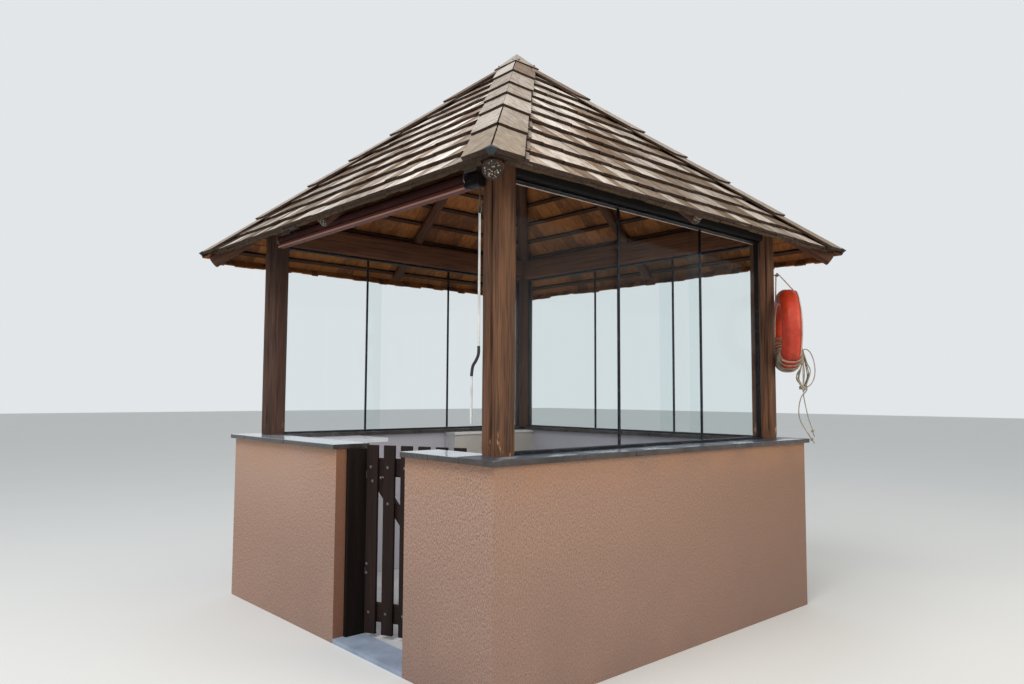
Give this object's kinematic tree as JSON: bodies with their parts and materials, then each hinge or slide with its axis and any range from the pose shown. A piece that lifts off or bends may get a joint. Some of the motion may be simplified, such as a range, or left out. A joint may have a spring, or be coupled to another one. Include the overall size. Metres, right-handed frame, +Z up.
{
  "type": "roofed lifeguard kiosk",
  "caption": "Square lifeguard kiosk: rendered half-height walls with slate caps and a picket gate, log posts, sliding glass, and a shingled pyramid roof.",
  "frame": {"origin": "middle of the plan, on the level that the walls stand on", "axes": "+Z up; -Y is the front, with the gate and the open window; +X is the side on the right of the gate"},
  "size_m": [3.4818, 3.4818, 4.1287],
  "materials": {
    "floor_screed": "smooth white screed",
    "threshold_stone": "pale blue-grey stone",
    "render_coat": "combed salmon render",
    "slate": "slate, polished on top",
    "post_log": "oiled round log with checks",
    "beam_timber": "oiled reddish timber",
    "roof_log": "oiled round timber",
    "shingle": "weathered wooden shingles",
    "hip_board": "weathered pale boards",
    "glass": "clear toughened glass",
    "track_metal": "dark anodised",
    "jamb_wood": "dark stained board",
    "gate_wood": "very dark stained boards",
    "hinge_steel": "zinc plated steel",
    "awning_canvas": "dark red-brown canvas",
    "awning_bar": "brown painted bar",
    "bracket_metal": "grey painted",
    "crank_rod": "white enamel",
    "ring_shell": "orange-red shell",
    "rope": "laid off-white rope",
    "shelf_slab": "pale slab",
    "cupboard_panel": "grey-beige panel"
  },
  "bodies": {
    "kiosk": {"floor": "floor_screed", "threshold": "threshold_stone", "left_wall": "render_coat", "right_wall": "render_coat", "back_wall": "render_coat", "front_piers": "render_coat", "left_cap": "slate", "right_cap": "slate", "back_cap": "slate", "front_caps": "slate", "front_left_post": "post_log", "front_right_post": "post_log", "back_left_post": "post_log", "back_right_post": "post_log", "front_beam": "beam_timber", "right_beam": "beam_timber", "back_beam": "beam_timber", "left_beam": "beam_timber", "king_block": "roof_log", "hip_logs": "roof_log", "middle_logs": "roof_log", "battens": "roof_log", "front_shingles": "shingle", "right_shingles": "shingle", "back_shingles": "shingle", "left_shingles": "shingle", "hip_boards": "hip_board", "apex_cap": "hip_board", "sliding_panes": "glass", "glazing_tracks": "track_metal", "gate_jamb": "jamb_wood", "jamb_hinges": "hinge_steel", "awning_roll": "awning_canvas", "awning_front_bar": "awning_bar", "awning_brackets": "bracket_metal", "awning_crank": "crank_rod", "life_ring": "ring_shell", "ring_hook": "hinge_steel", "ring_lines": "rope", "rope_winding": "rope", "rope_hank": "rope", "rope_tails": "rope", "corner_shelf": "shelf_slab", "wall_cupboard": "cupboard_panel"},
    "gate_leaf": {"gate": "gate_wood", "gate_hinge_plates": "hinge_steel"}
  },
  "joints": [
    {"name": "gate_hinge", "type": "hinge", "parent": "kiosk", "child": "gate_leaf", "pos_m": [0.0535, -1.277, 0.7075], "axis": [0, 0, 1], "range_deg": [-24.3, 70]}
  ]
}
